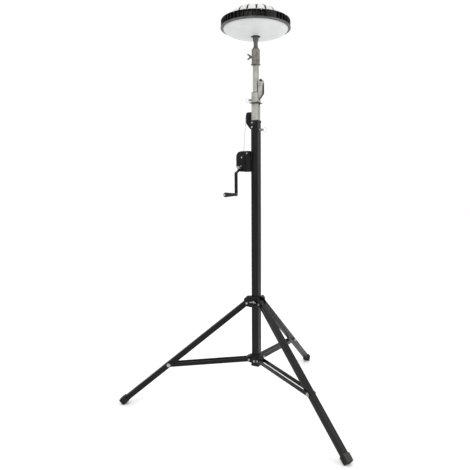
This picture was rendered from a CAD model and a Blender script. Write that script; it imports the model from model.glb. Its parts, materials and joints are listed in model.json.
import json
import math

import bpy
from mathutils import Matrix, Vector


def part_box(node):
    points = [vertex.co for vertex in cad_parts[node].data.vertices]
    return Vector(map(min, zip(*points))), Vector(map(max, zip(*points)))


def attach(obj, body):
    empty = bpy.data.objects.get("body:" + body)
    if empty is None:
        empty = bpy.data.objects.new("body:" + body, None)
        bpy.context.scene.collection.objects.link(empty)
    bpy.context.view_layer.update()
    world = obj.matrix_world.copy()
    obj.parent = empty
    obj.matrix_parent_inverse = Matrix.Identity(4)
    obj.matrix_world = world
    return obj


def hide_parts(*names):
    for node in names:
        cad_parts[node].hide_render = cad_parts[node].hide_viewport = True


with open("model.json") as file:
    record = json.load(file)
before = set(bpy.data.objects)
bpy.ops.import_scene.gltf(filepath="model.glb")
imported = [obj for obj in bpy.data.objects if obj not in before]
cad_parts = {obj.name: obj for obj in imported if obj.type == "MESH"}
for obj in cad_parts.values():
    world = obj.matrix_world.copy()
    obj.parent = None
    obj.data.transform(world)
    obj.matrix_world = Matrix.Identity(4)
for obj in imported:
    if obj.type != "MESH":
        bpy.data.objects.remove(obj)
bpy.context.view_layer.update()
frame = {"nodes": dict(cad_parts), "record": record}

nodes = frame["nodes"]
record = frame["record"]
scene = bpy.context.scene

# ------------------------------------------------------------------ studio
# A camera a little under half of the stand's height, looking slightly down, in a white studio with
# large soft lights and a pale floor. The mast stands beside the origin, which is under the middle
# of the feet, and the stand is laid out from the mast's axis.
mast_low, mast_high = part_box("outer_mast")
MAST_X = (mast_low.x + mast_high.x) / 2
MAST_Y = (mast_low.y + mast_high.y) / 2
CAMERA_AWAY = 2.642
CAMERA_HEIGHT = 1.197
CAMERA_SIDE = math.radians(-1.82)
CAMERA_DOWN = 0.0947
CAMERA_ROLL = -0.00277
LENS_MM = 37.08
LENS_SHIFT = -0.0452
LIGHTS = [
    ("key_light", (-1.2, -3.0, 3.9), 1.6, 42, (1, 0.99, 0.97)),
    ("fill_light", (3.4, -1.4, 2.6), 1.6, 26, (0.97, 0.98, 1)),
    ("back_light", (0.8, 3.0, 3.2), 2.0, 16, (1, 1, 1)),
]
FLOOR_SIZE = 60

camera_data = bpy.data.cameras.new("camera")
camera_data.sensor_width = 36
camera_data.lens = LENS_MM
camera_data.shift_x = LENS_SHIFT
camera = bpy.data.objects.new("camera", camera_data)
scene.collection.objects.link(camera)
camera.matrix_world = (
    Matrix.Translation((
        MAST_X + CAMERA_AWAY * math.sin(CAMERA_SIDE),
        MAST_Y - CAMERA_AWAY * math.cos(CAMERA_SIDE),
        CAMERA_HEIGHT,
    ))
    @ Matrix.Rotation(CAMERA_SIDE, 4, "Z")
    @ Matrix.Rotation(math.pi / 2 - CAMERA_DOWN, 4, "X")
    @ Matrix.Rotation(CAMERA_ROLL, 4, "Z")
)
scene.camera = camera
scene.view_settings.view_transform = "Standard"

for name, place, size, power, colour in LIGHTS:
    light_data = bpy.data.lights.new(name, "AREA")
    light_data.shape = "SQUARE"
    light_data.size = size
    light_data.energy = power
    light_data.color = colour
    light = bpy.data.objects.new(name, light_data)
    scene.collection.objects.link(light)
    light.location = place
    towards = Vector((MAST_X, MAST_Y, 1.1)) - Vector(place)
    light.rotation_euler = towards.to_track_quat("-Z", "Y").to_euler()

world = bpy.data.worlds.new("studio")
world.use_nodes = True
backdrop = world.node_tree.nodes["Background"]
backdrop.inputs["Color"].default_value = (1, 1, 1, 1)
backdrop.inputs["Strength"].default_value = 1.03
scene.world = world

bpy.ops.object.select_all(action="DESELECT")
bpy.ops.mesh.primitive_plane_add(size=FLOOR_SIZE, location=(0, 0, 0))
floor = bpy.context.object
floor.name = "studio_floor"
floor_paint = bpy.data.materials.new("studio_floor")
floor_paint.use_nodes = True
floor_shader = floor_paint.node_tree.nodes["Principled BSDF"]
floor_shader.inputs["Base Color"].default_value = (0.985, 0.985, 0.985, 1)
floor_shader.inputs["Roughness"].default_value = 0.9
floor_shader.inputs["Specular IOR Level"].default_value = 0.1
floor.data.materials.append(floor_paint)

# ------------------------------------------------------------------ base hub
# A welded hub grips the foot of the mast, with a pair of ears and a bolt for each strut. Each CAD
# part that is already the right shape is copied, its flats merged and its edges broken, and the
# copy takes a procedural finish: powder coat here, and dulled zinc on the bolts.
OUT = Vector((math.cos(math.radians(150)), math.sin(math.radians(150)), 0))
ACROSS = Vector((-OUT.y, OUT.x, 0))
UP = Vector((0, 0, 1))
HUB_EDGE = 0.9
BOLT_EDGE = 0.4
HUB_CLAMP = (3, 23.5, 240)
body_of = {node: body for body, group in record["behaviour"]["bodies"].items() for node in group}
slot_of = {part["node"]: part["material_slot"] for part in record["subparts"]}
finishes = {}


def mm(value):
    return value / 1000


def on_mast(out, across, height):
    """A place in millimetres: out of the winch face, across it, and up from the floor."""
    return Vector((MAST_X, MAST_Y, 0)) + OUT * mm(out) + ACROSS * mm(across) + UP * mm(height)


def pick(*pieces):
    """Selects these pieces alone, the first of them active, in object mode."""
    if bpy.context.object and bpy.context.object.mode != "OBJECT":
        bpy.ops.object.mode_set(mode="OBJECT")
    bpy.ops.object.select_all(action="DESELECT")
    for piece in pieces:
        piece.select_set(True)
    if pieces:
        bpy.context.view_layer.objects.active = pieces[0]


def choose_faces(piece, test):
    """Selects the faces that pass the test, and leaves the piece in edit mode."""
    pick(piece)
    bpy.ops.object.mode_set(mode="EDIT")
    bpy.ops.mesh.select_mode(type="FACE")
    bpy.ops.mesh.select_all(action="DESELECT")
    bpy.ops.object.mode_set(mode="OBJECT")
    for face in piece.data.polygons:
        face.select = test(face)
    bpy.ops.object.mode_set(mode="EDIT")


def apply_modifier(piece, kind, **values):
    modifier = piece.modifiers.new(kind.lower(), kind)
    for name, value in values.items():
        setattr(modifier, name, value)
    pick(piece)
    bpy.ops.object.modifier_apply(modifier=modifier.name)


def break_edges(piece, width, cuts=2, turn=32):
    """Rounds every edge sharper than `turn` degrees by `width` millimetres, and smooths the rest."""
    if width:
        apply_modifier(
            piece, "BEVEL", width=mm(width), segments=cuts, limit_method="ANGLE",
            angle_limit=math.radians(turn), use_clamp_overlap=True, miter_outer="MITER_ARC",
        )
    pick(piece)
    bpy.ops.object.shade_smooth_by_angle(angle=math.radians(38))


def dress(piece, body, slot, finish=None):
    """Gives a finished piece its slot's finish, or another that is named, and lets it ride its body."""
    piece.data.materials.clear()
    piece.data.materials.append(finishes[finish or slot])
    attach(piece, body)
    return piece


def refine(node, edge, cuts=2, finish=None):
    """A CAD node's own shape with its flats merged and its edges broken, standing for the node. It
    has its slot's finish unless another is named."""
    piece = bpy.data.objects.new(f"{node}_finished", nodes[node].data.copy())
    scene.collection.objects.link(piece)
    pick(piece)
    bpy.ops.object.mode_set(mode="EDIT")
    bpy.ops.mesh.select_all(action="SELECT")
    bpy.ops.mesh.remove_doubles(threshold=0.00001)
    bpy.ops.mesh.dissolve_limited(angle_limit=math.radians(0.6))
    bpy.ops.object.mode_set(mode="OBJECT")
    break_edges(piece, edge, cuts)
    dress(piece, body_of[node], slot_of[node], finish)
    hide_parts(node)
    return piece


def pattern_group(name, numbers, masks):
    """An empty node group with number inputs and mask outputs, and its coordinates."""
    group = bpy.data.node_groups.new(name, "ShaderNodeTree")
    for label, value in numbers.items():
        socket = group.interface.new_socket(label, in_out="INPUT", socket_type="NodeSocketFloat")
        socket.default_value = value
    for label in masks:
        group.interface.new_socket(label, in_out="OUTPUT", socket_type="NodeSocketFloat")
    inside = group.nodes.new("NodeGroupInput")
    outside = group.nodes.new("NodeGroupOutput")
    where = group.nodes.new("ShaderNodeTexCoord").outputs["Object"]
    return group, inside, outside, where


def spread(tree, source, to_low, to_high, low=0.0, high=1.0):
    """Maps low..high onto to_low..to_high."""
    node = tree.nodes.new("ShaderNodeMapRange")
    node.inputs["From Min"].default_value = low
    node.inputs["From Max"].default_value = high
    node.inputs["To Min"].default_value = to_low
    node.inputs["To Max"].default_value = to_high
    tree.links.new(source, node.inputs["Value"])
    return node.outputs["Result"]


def product(tree, one, other):
    node = tree.nodes.new("ShaderNodeMath")
    node.operation = "MULTIPLY"
    tree.links.new(one, node.inputs[0])
    tree.links.new(other, node.inputs[1])
    return node.outputs["Value"]


def noise(tree, where, scale, detail, stretch=None):
    """Noise at a scale that is a number or a socket, stretched along an axis if asked."""
    if stretch:
        mapping = tree.nodes.new("ShaderNodeMapping")
        mapping.inputs["Scale"].default_value = stretch
        tree.links.new(where, mapping.inputs["Vector"])
        where = mapping.outputs["Vector"]
    node = tree.nodes.new("ShaderNodeTexNoise")
    node.inputs["Detail"].default_value = detail
    tree.links.new(where, node.inputs["Vector"])
    if isinstance(scale, float):
        node.inputs["Scale"].default_value = scale
    else:
        tree.links.new(scale, node.inputs["Scale"])
    return node.outputs["Fac"]


grain, inside, outside, where = pattern_group(
    "grain", {"Fine Scale": 600.0, "Blotch Scale": 11.0}, ("Fine", "Blotch")
)
for label, detail in (("Fine", 3.0), ("Blotch", 5.0)):
    speckle = noise(grain, where, inside.outputs[f"{label} Scale"], detail)
    grain.links.new(speckle, outside.inputs[label])

scuffs, inside, outside, where = pattern_group(
    "scuffs_and_dust", {"Scratch Scale": 24.0}, ("Scratches", "Dust")
)
slant = scuffs.nodes.new("ShaderNodeMapping")
slant.inputs["Scale"].default_value = (1, 1, 0.16)
slant.inputs["Rotation"].default_value = (0.25, 0.4, 0.1)
cells = scuffs.nodes.new("ShaderNodeTexVoronoi")
cells.feature = "DISTANCE_TO_EDGE"
scuffs.links.new(where, slant.inputs["Vector"])
scuffs.links.new(slant.outputs["Vector"], cells.inputs["Vector"])
scuffs.links.new(inside.outputs["Scratch Scale"], cells.inputs["Scale"])
thin = spread(scuffs, cells.outputs["Distance"], 1, 0, 0, 0.018)
patches = noise(scuffs, where, 9.0, 4.0)
sparse = spread(scuffs, patches, 0, 1, 0.56, 0.7)
scuffs.links.new(product(scuffs, thin, sparse), outside.inputs["Scratches"])
facing = scuffs.nodes.new("ShaderNodeSeparateXYZ")
scuffs.links.new(scuffs.nodes.new("ShaderNodeNewGeometry").outputs["Normal"], facing.inputs["Vector"])
upward = spread(scuffs, facing.outputs["Z"], 0, 1, 0.35, 1)
scuffs.links.new(product(scuffs, upward, patches), outside.inputs["Dust"])

streaks, inside, outside, where = pattern_group("drawn_streaks", {"Line Scale": 900.0}, ("Lines",))
lines = noise(streaks, where, inside.outputs["Line Scale"], 2.0, (1, 1, 0.006))
streaks.links.new(lines, outside.inputs["Lines"])


def new_finish(name, metallic):
    """A material with its own tree and shader, kept under its name."""
    material = bpy.data.materials.new(name)
    material.use_nodes = True
    shader = material.node_tree.nodes["Principled BSDF"]
    shader.inputs["Metallic"].default_value = metallic
    finishes[name] = material
    return material.node_tree, shader


def place_group(tree, group, **numbers):
    node = tree.nodes.new("ShaderNodeGroup")
    node.node_tree = group
    for label, value in numbers.items():
        node.inputs[label.replace("_", " ")].default_value = value
    return node


def ramp(tree, source, stops):
    """Colours picked by a mask: stops are (place, colour)."""
    node = tree.nodes.new("ShaderNodeValToRGB")
    tree.links.new(source, node.inputs["Fac"])
    for element, (place, colour) in zip(node.color_ramp.elements, stops):
        element.position = place
        element.color = (*colour, 1)
    return node.outputs["Color"]


def mixed(tree, mask, under, over):
    """A colour laid over another where the mask says."""
    node = tree.nodes.new("ShaderNodeMix")
    node.data_type = "RGBA"
    tree.links.new(mask, node.inputs["Factor"])
    tree.links.new(under, node.inputs["A"])
    node.inputs["B"].default_value = (*over, 1)
    return node.outputs["Result"]


def bumped(tree, shader, height, strength, distance):
    node = tree.nodes.new("ShaderNodeBump")
    node.inputs["Strength"].default_value = strength
    node.inputs["Distance"].default_value = distance
    tree.links.new(height, node.inputs["Height"])
    tree.links.new(node.outputs["Normal"], shader.inputs["Normal"])


def coated(name, dark, light, rough, fine, bump, dust, scratch, shine=0.35):
    """A sprayed or moulded skin: orange peel, slow colour drift, pale scratches and dust."""
    tree, shader = new_finish(name, 0.0)
    skin = place_group(tree, grain, Fine_Scale=fine, Blotch_Scale=11.0)
    wear = place_group(tree, scuffs, Scratch_Scale=24.0)
    colour = ramp(tree, skin.outputs["Blotch"], [(0.3, dark), (0.75, light)])
    colour = mixed(tree, spread(tree, wear.outputs["Scratches"], 0, 0.4), colour, scratch)
    colour = mixed(tree, spread(tree, wear.outputs["Dust"], 0, dust), colour, (0.5, 0.49, 0.46))
    tree.links.new(colour, shader.inputs["Base Color"])
    tree.links.new(spread(tree, skin.outputs["Blotch"], *rough, 0.3, 0.7), shader.inputs["Roughness"])
    shader.inputs["Specular IOR Level"].default_value = shine
    bumped(tree, shader, skin.outputs["Fine"], bump, 0.0004)
    return tree, shader


def plated(name, dark, light, rough, metallic, fine, bump=0.2):
    """Bare or plated metal: drawn lines, cloudy plate and fine scratches."""
    tree, shader = new_finish(name, metallic)
    drawn = place_group(tree, streaks, Line_Scale=fine)
    plate = place_group(tree, grain, Fine_Scale=260.0, Blotch_Scale=30.0)
    wear = place_group(tree, scuffs, Scratch_Scale=40.0)
    colour = ramp(tree, plate.outputs["Blotch"], [(0.32, dark), (0.68, light)])
    colour = mixed(tree, spread(tree, drawn.outputs["Lines"], 0, 0.3, 0.35, 0.7), colour, dark)
    colour = mixed(tree, spread(tree, wear.outputs["Scratches"], 0, 0.4), colour, dark)
    tree.links.new(colour, shader.inputs["Base Color"])
    tree.links.new(spread(tree, plate.outputs["Fine"], *rough, 0.3, 0.7), shader.inputs["Roughness"])
    bumped(tree, shader, drawn.outputs["Lines"], bump, 0.0002)
    return tree, shader


coated(
    "black_powder_coat", (0.0035, 0.0035, 0.0035), (0.0075, 0.0072, 0.007), (0.3, 0.44),
    620.0, 0.4, 0.03, (0.07, 0.07, 0.068), 0.16,
)
plated("zinc_plate", (0.28, 0.285, 0.28), (0.48, 0.485, 0.48), (0.3, 0.46), 0.9, 900.0)


def spun(name, outline, place, steps=64, along=None, turn=35):
    """An outline of (radius, height) points in millimetres, extruded point by point from one vertex
    and spun round Z. Its Z is then laid along `along`, and its zero put at `place`."""
    pick()
    bpy.ops.mesh.primitive_plane_add(size=0.001, location=(0, 0, 0))
    piece = bpy.context.object
    piece.name = name
    bpy.ops.object.mode_set(mode="EDIT")
    bpy.ops.mesh.select_all(action="SELECT")
    bpy.ops.mesh.merge(type="CENTER")
    last = (0, 0)
    for i, (radius, height) in enumerate(outline):
        step = (mm(radius - last[0]), 0, mm(height - last[1]))
        if i == 0:
            bpy.ops.transform.translate(value=step)
        else:
            bpy.ops.mesh.extrude_region_move(TRANSFORM_OT_translate={"value": step})
        last = (radius, height)
    bpy.ops.mesh.select_all(action="SELECT")
    bpy.ops.mesh.spin(steps=steps, angle=2 * math.pi, center=(0, 0, 0), axis=(0, 0, 1))
    bpy.ops.mesh.select_all(action="SELECT")
    bpy.ops.mesh.remove_doubles(threshold=0.000005)
    bpy.ops.mesh.normals_make_consistent(inside=False)
    bpy.ops.object.mode_set(mode="OBJECT")
    lay = UP.rotation_difference(along or UP).to_matrix().to_4x4()
    piece.data.transform(Matrix.Translation(place) @ lay)
    bpy.ops.object.shade_smooth_by_angle(angle=math.radians(turn))
    return piece


def hex_head(name, place, along, flats, height, body, slot="zinc_plate"):
    """A hexagon head chamfered at its corners, on a round washer."""
    pick()
    bpy.ops.mesh.primitive_cylinder_add(
        vertices=6, radius=mm(flats) / math.sqrt(3), depth=mm(height), location=(0, 0, mm(height / 2 + 1.4))
    )
    head = bpy.context.object
    head.name = name
    bpy.ops.object.transform_apply(location=True, rotation=False, scale=False)
    choose_faces(head, lambda face: face.normal.z > 0.9)
    bpy.ops.mesh.inset(thickness=mm(flats * 0.1), depth=mm(height * 0.1))
    bpy.ops.mesh.inset(thickness=mm(flats * 0.12), depth=-mm(height * 0.05))
    bpy.ops.mesh.select_mode(type="VERT")
    bpy.ops.object.mode_set(mode="OBJECT")
    washer = spun(
        f"{name}_washer",
        [(0, 0), (flats * 0.74, 0), (flats * 0.8, 0.4), (flats * 0.8, 1.1), (flats * 0.74, 1.4), (0, 1.4)],
        Vector((0, 0, 0)), 28,
    )
    pick(head, washer)
    bpy.ops.object.join()
    lay = UP.rotation_difference(along).to_matrix().to_4x4()
    head.data.transform(Matrix.Translation(place) @ lay)
    bpy.ops.object.shade_smooth_by_angle(angle=math.radians(28))
    return dress(head, body, slot)


refine("base_hub", HUB_EDGE)
for i in (1, 2, 3):
    refine(f"strut_bolt_{i}", BOLT_EDGE)
hex_head("hub_clamp_bolt", on_mast(*HUB_CLAMP), ACROSS, 9, 3.4, "root")

# ------------------------------------------------------------------ outer mast
# The fixed tube of the mast, with softly rounded corners. Two domed rivets near its top hold the
# plastic guide that the inner section slides in.
MAST_EDGE = 0.5
MAST_HALF = 20
RIVET_HEIGHTS = [1510, 1493]
RIVET_OUT = -14
RIVET_RADIUS = 2.4


def rivet(name, place, along, radius, body, slot):
    """A domed head that sinks a little into the face it stands on."""
    dome = [
        (0, radius * 0.55), (radius * 0.45, radius * 0.5), (radius * 0.8, radius * 0.32),
        (radius, 0.15), (radius, -0.4), (0, -0.4),
    ]
    return dress(spun(name, dome, place, 20, along, 50), body, slot)


refine("outer_mast", MAST_EDGE)
for i, height in enumerate(RIVET_HEIGHTS):
    rivet(f"guide_rivet_{i + 1}", on_mast(RIVET_OUT, MAST_HALF, height), ACROSS, RIVET_RADIUS,
          "root", "black_powder_coat")

# ------------------------------------------------------------------ legs and struts
# Three square tubes with ribbed rubber feet and plugged tops. Each is held by a pair of flat bars,
# pinned to the hub at one end and bolted through the leg at the other.
LEG_AZIMUTHS = [math.radians(a) for a in (180, 300, 60)]
LEG_PIVOT = Vector((mm(55), 0, mm(571)))
LEG_END = Vector((mm(757), 0, mm(11)))
LEG_HALF = 15
STRUT_OUTSIDE = 19.8
STRUT_BOLT = Vector((mm(490), 0, mm(223.99)))
BOLT_FLATS = 13
BOLT_HEAD = 5.2
STRUT_SHANK = 4
RIB_PITCH = 6
RIB_COUNT = 5
RIB_START = 9
RIB_SIDE = 19.2
RIB_HEIGHT = 2.6
RIB_CLEAR = 0.6
PLUG_SIDE = LEG_HALF - 0.6
PLUG_SPAN = (8, 15)


def rounded_block(name, low, high, edge, cuts=3):
    """A block between two corners in millimetres, about its own origin, with rounded edges."""
    pick()
    size = [mm(b - a) for a, b in zip(low, high)]
    middle = [mm(a + b) / 2 for a, b in zip(low, high)]
    bpy.ops.mesh.primitive_cube_add(size=1, location=middle)
    piece = bpy.context.object
    piece.name = name
    piece.scale = size
    bpy.ops.object.transform_apply(location=True, rotation=True, scale=True)
    break_edges(piece, edge, cuts)
    return piece


def slice_off(piece, place, facing, **side):
    """Cuts the piece by a plane, fills the cut, and clears the side that is asked for."""
    pick(piece)
    bpy.ops.object.mode_set(mode="EDIT")
    bpy.ops.mesh.select_all(action="SELECT")
    bpy.ops.mesh.bisect(plane_co=place, plane_no=facing, use_fill=True, **side)
    bpy.ops.object.mode_set(mode="OBJECT")


coated(
    "rubber", (0.009, 0.009, 0.009), (0.02, 0.0195, 0.019), (0.72, 0.9), 900.0, 0.5, 0.25,
    (0.12, 0.12, 0.115), 0.2,
)
coated(
    "black_plastic", (0.005, 0.005, 0.0055), (0.012, 0.012, 0.012), (0.4, 0.58), 1100.0, 0.3, 0.06,
    (0.1, 0.1, 0.1), 0.2,
)

leg_way = (LEG_END - LEG_PIVOT).normalized()
leg_lean = Matrix.Rotation(-math.atan2(leg_way.x, -leg_way.z), 4, "Y")
for i, azimuth in enumerate(LEG_AZIMUTHS, start=1):
    swing = Matrix.Translation((MAST_X, MAST_Y, 0)) @ Matrix.Rotation(azimuth, 4, "Z")
    leg_body = f"leg_{i}_body"
    strut_body = f"strut_{i}_body"
    refine(f"leg_{i}", 0.5)
    refine(f"foot_{i}", 1.2, 3)
    refine(f"strut_{i}_left", 0.5)
    refine(f"strut_{i}_right", 0.5)

    hang = swing @ Matrix.Translation(LEG_PIVOT) @ leg_lean
    length = (LEG_END - LEG_PIVOT).length * 1000
    for k in range(RIB_COUNT):
        height = -length + RIB_START + k * RIB_PITCH
        rib = rounded_block(
            f"foot_{i}_rib_{k + 1}", (-RIB_SIDE, -RIB_SIDE, height),
            (RIB_SIDE, RIB_SIDE, height + RIB_HEIGHT), 1.2, 2,
        )
        rib.data.transform(hang)
        slice_off(rib, (0, 0, mm(RIB_CLEAR)), (0, 0, 1), clear_inner=True)
        dress(rib, leg_body, "rubber")
    plug = rounded_block(
        f"leg_{i}_plug", (-PLUG_SIDE, -PLUG_SIDE, PLUG_SPAN[0]), (PLUG_SIDE, PLUG_SIDE, PLUG_SPAN[1]), 1.4
    )
    plug.data.transform(hang)
    dress(plug, leg_body, "black_plastic")

    side = swing.to_3x3() @ Vector((0, 1, 0))
    for hand, name in ((1, "head"), (-1, "nut")):
        place = swing @ (STRUT_BOLT + Vector((0, hand * mm(STRUT_OUTSIDE), 0)))
        hex_head(f"strut_{i}_leg_bolt_{name}", place, side * hand, BOLT_FLATS, BOLT_HEAD, strut_body)
    shank_line = [
        (0, -STRUT_OUTSIDE), (STRUT_SHANK, -STRUT_OUTSIDE), (STRUT_SHANK, STRUT_OUTSIDE), (0, STRUT_OUTSIDE)
    ]
    shank = spun(f"strut_{i}_leg_bolt_shank", shank_line, swing @ STRUT_BOLT, 20, side)
    dress(shank, strut_body, "zinc_plate")

# ------------------------------------------------------------------ collar and lock
# The collar rides up and down the mast with the tops of the legs between its ears. A wing screw on
# its front clamps it. Welds run down the roots of the ears, and small screws hold its guide pads.
COLLAR_SCREW_FACE = 23.9
COLLAR_SCREWS = [(-12, 597), (12, 597), (-12, 552), (12, 552)]
COLLAR_SCREW_RADIUS = 2.8
refine("leg_collar", 0.8)
refine("collar_lock", 0.7, 3)
for i in (1, 2, 3):
    refine(f"leg_bolt_{i}", 0.5)
for i, (out, height) in enumerate(COLLAR_SCREWS):
    rivet(f"collar_screw_{i + 1}", on_mast(out, COLLAR_SCREW_FACE, height), ACROSS, COLLAR_SCREW_RADIUS,
          "collar", "zinc_plate")

# ------------------------------------------------------------------ top pulley bracket
# A folded bracket bolted to the mast's top carries the large sheave that the lift rope runs over.
# A moulded collar closes the gap between the two tubes, and a spring plunger locks the section.
BRACKET_FACE = 23.3
BRACKET_BOLTS = [(11, 1549), (12, 1526)]
MAST_TOP = 1558
GUIDE_SIDE = 21.4
GUIDE_BORE = 18.5
GUIDE_BELOW = 8
GUIDE_RISE = 5
GUIDE_FLAT = 20.2
HOLE_LENGTH = 60
plated("grey_steel", (0.15, 0.142, 0.142), (0.27, 0.258, 0.255), (0.4, 0.55), 0.6, 1200.0)
refine("top_pulley_bracket", 0.6)
refine("top_sheave", 0.5, 3)
refine("top_sheave_pin", 0.5)
for i, (out, height) in enumerate(BRACKET_BOLTS):
    hex_head(f"bracket_bolt_{i + 1}", on_mast(out, BRACKET_FACE, height), ACROSS, 6.5, 3, "root")


def bored_guide(name, low, high, edge, bore, level):
    """A moulded block about its own origin, with a square hole for the tube that slides in it."""
    guide = rounded_block(name, low, high, edge)
    pick()
    bpy.ops.mesh.primitive_cube_add(size=1, location=(0, 0, mm(level)))
    hole = bpy.context.object
    hole.scale = (mm(bore) * 2, mm(bore) * 2, mm(HOLE_LENGTH))
    bpy.ops.object.transform_apply(location=True, rotation=True, scale=True)
    apply_modifier(guide, "BOOLEAN", object=hole, operation="DIFFERENCE")
    bpy.data.objects.remove(hole)
    return guide


guide = bored_guide(
    "mast_guide", (-GUIDE_SIDE, -GUIDE_SIDE, MAST_TOP - GUIDE_BELOW),
    (GUIDE_SIDE, GUIDE_SIDE, MAST_TOP + GUIDE_RISE), 1.6, GUIDE_BORE, MAST_TOP,
)
sleeve_turn = Matrix.Translation((MAST_X, MAST_Y, 0)) @ Matrix.Rotation(math.radians(150), 4, "Z")

# The guide stops short of the bracket's back plate on the winch face.
slice_off(guide, (mm(GUIDE_FLAT), 0, 0), (1, 0, 0), clear_outer=True)
guide.data.transform(sleeve_turn)
bpy.ops.object.shade_smooth_by_angle(angle=math.radians(38))
dress(guide, "root", "black_plastic")

for node in ("mast_plunger_barrel", "mast_plunger_pin"):
    refine(node, 0.5)
refine("mast_plunger_ring", 0)

# ------------------------------------------------------------------ winch
# A plate frame on the mast's winch face holds the drum, the gears and the ratchet brake. A pressed
# cover closes the gears in. The crank's arm is joggled, with a moulded grip that turns on its pin.
COVER_BOLTS = [(64, 43.6, 1366), (72, 40.6, 1320), (34, 40.6, 1388)]
GRIP_OUT = 75.98
GRIP_HEIGHT = 1167.47
GRIP_WASHER = 87.2
GRIP_START = 88.5
GRIP_LENGTH = 111
GRIP_RIBS = 9
GRIP_THIN = 7.4
GRIP_THICK = 11.4
GRIP_RIVET = 203.1
DRUM_OUT = 54.2
DRUM_HEIGHT = 1342
DRUM_CORE = 25.3
ROPE_THICK = 2.5
DRUM_HALF = 16.4
refine("winch_frame", 0.6)
refine("winch_cover", 1.6, 3)
for node in ("drum", "drum_gear", "drum_axle", "brake_ratchet", "pawl", "crank_shaft", "crank_nut"):
    refine(node, 0.35)
refine("crank_arm", 1.1, 3)

for i, place in enumerate(COVER_BOLTS):
    hex_head(f"cover_bolt_{i + 1}", on_mast(*place), ACROSS, 6, 2.8, "root")

# Turns of rope on the drum: a row of rings, side by side, with a strand's own twist in its finish.
turns = int(2 * DRUM_HALF / ROPE_THICK)
rope_turns = []
for i in range(turns):
    along = -DRUM_HALF + (i + 0.5) * 2 * DRUM_HALF / turns
    pick()
    bpy.ops.mesh.primitive_torus_add(
        major_radius=mm(DRUM_CORE + ROPE_THICK / 2), minor_radius=mm(ROPE_THICK / 2),
        major_segments=56, minor_segments=8, location=(0, 0, mm(along)),
    )
    ring = bpy.context.object
    bpy.ops.object.transform_apply(location=True, rotation=False, scale=False)
    rope_turns.append(ring)
pick(*rope_turns)
bpy.ops.object.join()
wound = bpy.context.object
wound.name = "rope_on_drum"
lay = UP.rotation_difference(ACROSS).to_matrix().to_4x4()
wound.data.transform(Matrix.Translation(on_mast(DRUM_OUT, 0, DRUM_HEIGHT)) @ lay)
bpy.ops.object.shade_smooth_by_angle(angle=math.radians(60))

tree, shader = new_finish("wire_rope", 1.0)
lay_of_rope = tree.nodes.new("ShaderNodeTexCoord")
twist = tree.nodes.new("ShaderNodeTexWave")
twist.wave_type = "BANDS"
twist.bands_direction = "DIAGONAL"
twist.inputs["Scale"].default_value = 190.0
twist.inputs["Distortion"].default_value = 0.6
tree.links.new(lay_of_rope.outputs["Object"], twist.inputs["Vector"])
plate = place_group(tree, grain, Fine_Scale=400.0, Blotch_Scale=40.0)
wires = ramp(tree, twist.outputs["Fac"], [(0.1, (0.28, 0.28, 0.27)), (0.6, (0.62, 0.62, 0.6))])
oil = spread(tree, plate.outputs["Blotch"], 0, 0.35, 0.45, 0.75)
tree.links.new(mixed(tree, oil, wires, (0.2, 0.19, 0.17)), shader.inputs["Base Color"])
tree.links.new(spread(tree, plate.outputs["Fine"], 0.28, 0.5), shader.inputs["Roughness"])
bumped(tree, shader, twist.outputs["Fac"], 0.8, 0.0004)
dress(wound, "drum_body", "wire_rope")
refine("lift_rope", 0)

# The grip is a moulded cone, ribbed round, with a domed end and the pin's riveted end showing.
profile = [(4.6, 0), (6.4, 0), (GRIP_THIN, 0.8)]
rib_step = (GRIP_LENGTH - 22) / GRIP_RIBS
for i in range(GRIP_RIBS):
    start = 2 + i * rib_step
    radius = GRIP_THIN + (GRIP_THICK - GRIP_THIN) * i / (GRIP_RIBS - 1)
    profile += [
        (radius - 0.9, start + 0.6), (radius - 0.9, start + 1.6), (radius, start + 2.4),
        (radius + 0.3, start + rib_step * 0.6), (radius, start + rib_step - 0.2),
    ]
profile += [(12.2, GRIP_LENGTH - 17), (12.5, GRIP_LENGTH - 10), (12, GRIP_LENGTH - 4)]
profile += [(10.4, GRIP_LENGTH - 1), (8.4, GRIP_LENGTH), (4.6, GRIP_LENGTH), (4.6, 0)]
grip = spun("ribbed_grip", profile, on_mast(GRIP_OUT, GRIP_START, GRIP_HEIGHT), 48, ACROSS, 30)
dress(grip, "grip_body", "black_plastic")
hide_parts("crank_grip")
washer = spun(
    "grip_washer", [(4.2, 0), (7.8, 0), (8.2, 0.3), (8.2, 0.9), (7.8, 1.2), (4.2, 1.2), (4.2, 0)],
    on_mast(GRIP_OUT, GRIP_WASHER, GRIP_HEIGHT), 32, ACROSS,
)
dress(washer, "crank_body", "zinc_plate")
rivet("grip_rivet", on_mast(GRIP_OUT, GRIP_RIVET, GRIP_HEIGHT), ACROSS, 5.6, "crank_body", "zinc_plate")

# ------------------------------------------------------------------ inner section and its head
# A galvanised tube with a rope groove down two faces. Its head carries a small sheave for the second
# rope between two cheeks, a guard that keeps the rope in, a spring plunger and the stop plate.
SECTION_TOP = 1707
SECTION_BORE = 12.9
KNOB_OUT = -36
KNOB_HEIGHT = 1768
HEAD_FACE = 10.2
HEAD_BOLT = (-23, HEAD_FACE, 1745)
plated(
    "galvanised", (0.28, 0.275, 0.26), (0.42, 0.415, 0.39), (0.4, 0.58), 0.72, 700.0,
)
for node in ("section_1_tube", "head_bracket", "head_sheave", "head_sheave_pin", "stop_plate"):
    refine(node, 0.4)
for node in ("head_plunger_barrel", "head_plunger_pin", "rope_guard"):
    refine(node, 0.5)
refine("head_plunger_ring", 0)
refine("second_rope", 0)
guide = bored_guide(
    "section_guide", (-14.5, -16, SECTION_TOP - 10), (16, 16, SECTION_TOP + 3), 1.2,
    SECTION_BORE, SECTION_TOP,
)
guide.data.transform(sleeve_turn)
dress(guide, "section_1", "black_plastic")
hex_head("head_bracket_bolt_1", on_mast(*HEAD_BOLT), ACROSS, 8, 3.2, "section_1")
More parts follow.
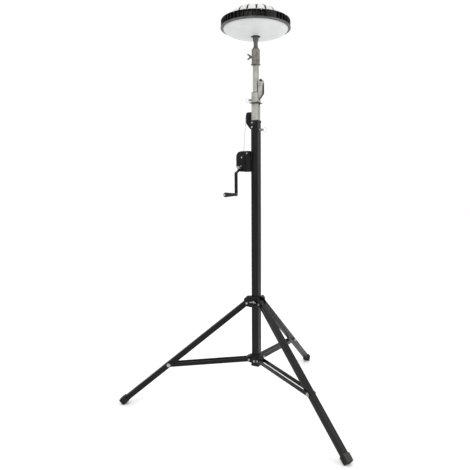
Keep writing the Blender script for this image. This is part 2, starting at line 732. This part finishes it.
knob = spun(
    "head_knob", [(0, 0), (5, 0), (6.4, 1), (6.6, 3.4), (5.4, 5), (0, 5.4)],
    on_mast(KNOB_OUT, HEAD_FACE, KNOB_HEIGHT), 24, ACROSS, 40,
)
dress(knob, "section_1", "black_plastic")

# ------------------------------------------------------------------ top section and lamp socket
# The slim top tube ends in a turned socket, left bare. A dark wing screw through a boss in its side
# clamps the lamp's spigot.
SOCKET_RADIUS = 22
SOCKET_LOW = 1852
SOCKET_TOP = 1932
BOSS_HEIGHT = 1893
refine("section_2_tube", 0.5)
plated("dark_steel", (0.06, 0.06, 0.058), (0.13, 0.13, 0.125), (0.34, 0.5), 0.55, 600.0)
plated("turned_steel", (0.1, 0.09, 0.083), (0.25, 0.233, 0.218), (0.45, 0.6), 0.55, 500.0)
refine("wing_screw", 0.7, 3, "dark_steel")
socket_line = [
    (14.6, SOCKET_LOW + 24), (14.6, SOCKET_LOW), (25.4, SOCKET_LOW), (26, SOCKET_LOW + 0.6),
    (26, SOCKET_LOW + 2.6), (25.2, SOCKET_LOW + 3.4), (23, SOCKET_LOW + 4.2),
    (SOCKET_RADIUS, SOCKET_LOW + 6),
    (SOCKET_RADIUS, SOCKET_LOW + 14), (SOCKET_RADIUS - 0.6, SOCKET_LOW + 14.5),
    (SOCKET_RADIUS - 0.6, SOCKET_LOW + 16), (SOCKET_RADIUS, SOCKET_LOW + 16.5),
    (SOCKET_RADIUS, SOCKET_TOP - 12), (SOCKET_RADIUS - 0.6, SOCKET_TOP - 11.5),
    (SOCKET_RADIUS - 0.6, SOCKET_TOP - 10), (SOCKET_RADIUS, SOCKET_TOP - 9.5),
    (SOCKET_RADIUS, SOCKET_TOP - 1.6), (SOCKET_RADIUS - 1.6, SOCKET_TOP), (15.6, SOCKET_TOP),
    (14.6, SOCKET_TOP - 1), (14.6, SOCKET_LOW + 30),
]
socket = spun("turned_socket", [*socket_line, socket_line[0]], on_mast(0, 0, 0), 72)
dress(socket, "section_2", "grey_steel", "turned_steel")
boss_way = Vector((-1, 0, 0))
boss = spun(
    "socket_boss", [(4.4, 20.5), (7.4, 20.5), (7.4, 22.0), (6.6, 22.25), (4.4, 22.25), (4.4, 20.5)],
    on_mast(0, 0, BOSS_HEIGHT), 28, boss_way,
)
dress(boss, "section_2", "grey_steel", "turned_steel")
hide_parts("lamp_socket")

# ------------------------------------------------------------------ lamp: spigot and opal bowl
# A turned spigot stands in the socket and carries the lamp. The diffuser is a shallow bowl blown from
# satin opal sheet, about 2 mm thick, with a thin trim ring round the spigot.
BOWL_RADIUS = 171
BOWL_SAG = 40
BOWL_RIM = 2037
BOWL_HOLE = 17
BOWL_WALL = 2
spigot_line = [
    (0, 1886), (13.2, 1886), (14.2, 1887), (14.2, 1933), (16.4, 1933), (17, 1933.6), (17, 1937.4),
    (16.4, 1938), (13.2, 1940), (12, 1944), (11.3, 1952), (11.2, 1960), (11.6, 1968), (12.6, 1974),
    (15, 1978.5), (15.5, 1980), (15.5, 1986), (15, 1986.6), (15, 1988), (15.5, 1988.6),
    (15.5, 2001), (12, 2001), (12, 2046), (0, 2046),
]
spigot = spun("turned_spigot", spigot_line, on_mast(0, 0, 0), 72)
dress(spigot, "lamp", "black_powder_coat", "dark_steel")
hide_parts("lamp_spigot")


def bowl_line(radius, sag, count=30):
    """Half of the bowl's section, from its middle hole out to its rim."""
    line = []
    for i in range(count + 1):
        reach = BOWL_HOLE + (radius - BOWL_HOLE) * math.sin(i / count * math.pi / 2)
        line.append((reach, BOWL_RIM - sag * math.sqrt(max(0, 1 - (reach / radius) ** 2.6))))
    return line


outside_line = bowl_line(BOWL_RADIUS, BOWL_SAG)
inside_line = bowl_line(BOWL_RADIUS - BOWL_WALL, BOWL_SAG - BOWL_WALL)[::-1]
rim_line = [(BOWL_RADIUS, BOWL_RIM + 2), (BOWL_RADIUS - BOWL_WALL, BOWL_RIM + 2)]
bowl = spun(
    "opal_bowl", [*outside_line, *rim_line, *inside_line, outside_line[0]], on_mast(0, 0, 0), 144
)
tree, shader = coated(
    "opal_plastic", (0.56, 0.57, 0.57), (0.66, 0.665, 0.66), (0.34, 0.46), 420.0, 0.08, 0.0,
    (0.5, 0.5, 0.49), 0.45,
)
shader.inputs["Subsurface Weight"].default_value = 0.15
shader.inputs["Subsurface Radius"].default_value = (0.02, 0.02, 0.02)
dress(bowl, "lamp", "opal_plastic")
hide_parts("diffuser")

trim_height = BOWL_RIM - BOWL_SAG
trim = spun(
    "bowl_trim_ring",
    [(16, trim_height - 1.4), (23.5, trim_height - 1.8), (25, trim_height - 1), (25, trim_height + 0.6),
     (16, trim_height + 1.2), (16, trim_height - 1.4)],
    on_mast(0, 0, 0), 64,
)
dress(trim, "lamp", "black_powder_coat")

# ------------------------------------------------------------------ lamp: finned housing
# A die casting: a lower rim round the bowl, an upper rim under the cap, and upright fins between them
# all round but for one plain panel. A bare steel ring under it clamps the bowl, and small screws stand
# round the upper rim.
HOUSING_RADIUS = 184
HOUSING_LOW = 2036
HOUSING_TOP = 2077
PLATE_HEIGHT = 2046
NECK_RADIUS = 172
FIN_COUNT = 48
FIN_THICKNESS = 4.4
PANEL_AZIMUTH = math.radians(-65.7)
PANEL_HALF = 27
SCREW_COUNT = 8
SCREW_START = -128
GLAND_AZIMUTH = math.radians(90)
GLAND_HEIGHT = 2062
FIRST_FIN = math.radians(150)
edge = HOUSING_RADIUS
casting_line = [
    (13, PLATE_HEIGHT), (171.3, PLATE_HEIGHT), (171.3, HOUSING_LOW + 1), (172.4, HOUSING_LOW),
    (edge - 3, HOUSING_LOW), (edge - 0.8, HOUSING_LOW + 0.8), (edge, HOUSING_LOW + 2.4),
    (edge - 0.4, HOUSING_LOW + 4.2), (edge - 2, HOUSING_LOW + 5.4),
    (NECK_RADIUS + 2, HOUSING_LOW + 6.2), (NECK_RADIUS, HOUSING_LOW + 8), (NECK_RADIUS, HOUSING_TOP - 8),
    (NECK_RADIUS + 2, HOUSING_TOP - 6), (edge - 4, HOUSING_TOP - 5.2), (edge - 2.6, HOUSING_TOP - 3.8),
    (edge - 2.4, HOUSING_TOP - 1.8), (edge - 4, HOUSING_TOP),
    (137, HOUSING_TOP), (137, HOUSING_TOP - 3), (168, HOUSING_TOP - 3),
    (168, PLATE_HEIGHT + 3), (13, PLATE_HEIGHT + 3),
    (13, PLATE_HEIGHT),
]
casting = spun("housing_casting", casting_line, on_mast(0, 0, 0), 144)
dress(casting, "lamp", "black_powder_coat")
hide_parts("lamp_housing")

fins = []
fin_step = 2 * math.pi / FIN_COUNT
for i in range(FIN_COUNT):
    azimuth = FIRST_FIN + i * fin_step
    if abs(math.remainder(azimuth - PANEL_AZIMUTH, 2 * math.pi)) < 1.1 * fin_step:
        continue
    half = FIN_THICKNESS / 2
    fin = rounded_block(
        f"fin_{i + 1}", (NECK_RADIUS - 1, -half, HOUSING_LOW + 3),
        (edge - 1.2, half, HOUSING_TOP - 1.5), 0.8, 2,
    )
    fin.data.transform(Matrix.Translation(on_mast(0, 0, 0)) @ Matrix.Rotation(azimuth, 4, "Z"))
    fins.append(fin)
pick(*fins)
bpy.ops.object.join()
fins = bpy.context.object
fins.name = "housing_fins"
dress(fins, "lamp", "black_powder_coat")

panel = rounded_block(
    "housing_panel", (edge - 16, -PANEL_HALF, HOUSING_LOW + 3),
    (edge - 1.4, PANEL_HALF, HOUSING_TOP - 2), 2.4, 4,
)
panel.data.transform(Matrix.Translation(on_mast(0, 0, 0)) @ Matrix.Rotation(PANEL_AZIMUTH, 4, "Z"))
dress(panel, "lamp", "black_powder_coat")

clamp_ring = spun(
    "bowl_clamp_ring",
    [(169.6, HOUSING_LOW - 0.8), (173, HOUSING_LOW - 1.6), (181, HOUSING_LOW - 1.6),
     (184, HOUSING_LOW - 0.6), (185, HOUSING_LOW + 1), (185, HOUSING_LOW + 4.6),
     (184, HOUSING_LOW + 5.6), (180, HOUSING_LOW + 5.6), (180, HOUSING_LOW + 0.4),
     (169.6, HOUSING_LOW + 0.4), (169.6, HOUSING_LOW - 0.8)],
    on_mast(0, 0, 0), 144,
)
dress(clamp_ring, "lamp", "black_powder_coat", "dark_steel")

for i in range(SCREW_COUNT):
    azimuth = math.radians(SCREW_START + 360 * i / SCREW_COUNT)
    facing = Vector((math.cos(azimuth), math.sin(azimuth), 0))
    place = on_mast(0, 0, HOUSING_TOP - 5) + facing * mm(edge - 0.4)
    rivet(f"housing_screw_{i + 1}", place, facing, 2.8, "lamp", "zinc_plate")

facing = Vector((math.cos(GLAND_AZIMUTH), math.sin(GLAND_AZIMUTH), 0))
refine("inlet_gland", 0.5)
gland = spun(
    "gland_nut",
    [(4, edge + 1), (8.6, edge + 1), (9.2, edge + 2), (9.2, edge + 6), (8, edge + 8.4),
     (4, edge + 8.4), (4, edge + 1)],
    on_mast(0, 0, GLAND_HEIGHT), 10, facing, 20,
)
dress(gland, "lamp", "black_plastic")

coated(
    "led_board", (0.6, 0.63, 0.58), (0.74, 0.76, 0.72), (0.4, 0.5), 700.0, 0.1, 0.1, (0.5, 0.5, 0.45), 0.5
)
refine("led_board", 0)
refine("led_driver", 1.2)

# ------------------------------------------------------------------ lamp: vented cap
# A pressed cap, sprayed white, with long slots from shoulder to crown that let the warm air out. It
# stands on the casting's upper rim on a rolled foot, over the black dome of the lamp's heat sink.
CAP_RADIUS = 140
CAP_BASE = 2077.3
CAP_HEIGHT = 72
CAP_WALL = 2
CAP_SLOTS = 18
SLOT_SPAN = (48, 137)
SLOT_HALF = 5.5
FIRST_SLOT = math.radians(150)
SINK_SHARE = (0.93, 0.88)
coated(
    "white_paint", (0.58, 0.58, 0.57), (0.7, 0.7, 0.69), (0.3, 0.42),
    500.0, 0.15, 0.12, (0.4, 0.4, 0.4), 0.5,
)
cap_line = []
for i in range(37):
    turn = i / 36 * math.pi / 2
    cap_line.append((CAP_RADIUS * math.cos(turn) ** 0.9, CAP_BASE + CAP_HEIGHT * math.sin(turn) ** 0.95))
cap_line[-1] = (0, CAP_BASE + CAP_HEIGHT)
cap = spun("vented_cap", cap_line, on_mast(0, 0, 0), 360)
middle_of_cap = on_mast(0, 0, 0)
slot_step = 2 * math.pi / CAP_SLOTS


def in_slot(face):
    spoke = face.center - middle_of_cap
    reach = math.hypot(spoke.x, spoke.y) * 1000
    off = math.remainder(math.atan2(spoke.y, spoke.x) - FIRST_SLOT, slot_step)
    return SLOT_SPAN[0] < reach < SLOT_SPAN[1] and abs(reach * math.sin(off)) < SLOT_HALF


choose_faces(cap, in_slot)
bpy.ops.mesh.delete(type="FACE")
bpy.ops.mesh.select_mode(type="VERT")
bpy.ops.object.mode_set(mode="OBJECT")
apply_modifier(cap, "SOLIDIFY", thickness=mm(CAP_WALL), offset=-1)
bpy.ops.object.shade_smooth_by_angle(angle=math.radians(40))
dress(cap, "lamp", "white_paint")
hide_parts("vent_dome")
foot = spun(
    "cap_foot",
    [(136, CAP_BASE - 0.1), (142, CAP_BASE - 0.1), (143, CAP_BASE + 0.8), (143.4, CAP_BASE + 2),
     (142.8, CAP_BASE + 3.4), (140, CAP_BASE + 4.4), (136, CAP_BASE + 4.4), (136, CAP_BASE - 0.1)],
    on_mast(0, 0, 0), 144,
)
dress(foot, "lamp", "white_paint")
sink_line = [
    (reach * SINK_SHARE[0], CAP_BASE + 2 + (height - CAP_BASE) * SINK_SHARE[1])
    for reach, height in cap_line
]
heat_sink = spun("heat_sink_dome", sink_line, on_mast(0, 0, 0), 144)
apply_modifier(heat_sink, "SOLIDIFY", thickness=mm(CAP_WALL), offset=-1)
dress(heat_sink, "lamp", "black_powder_coat")
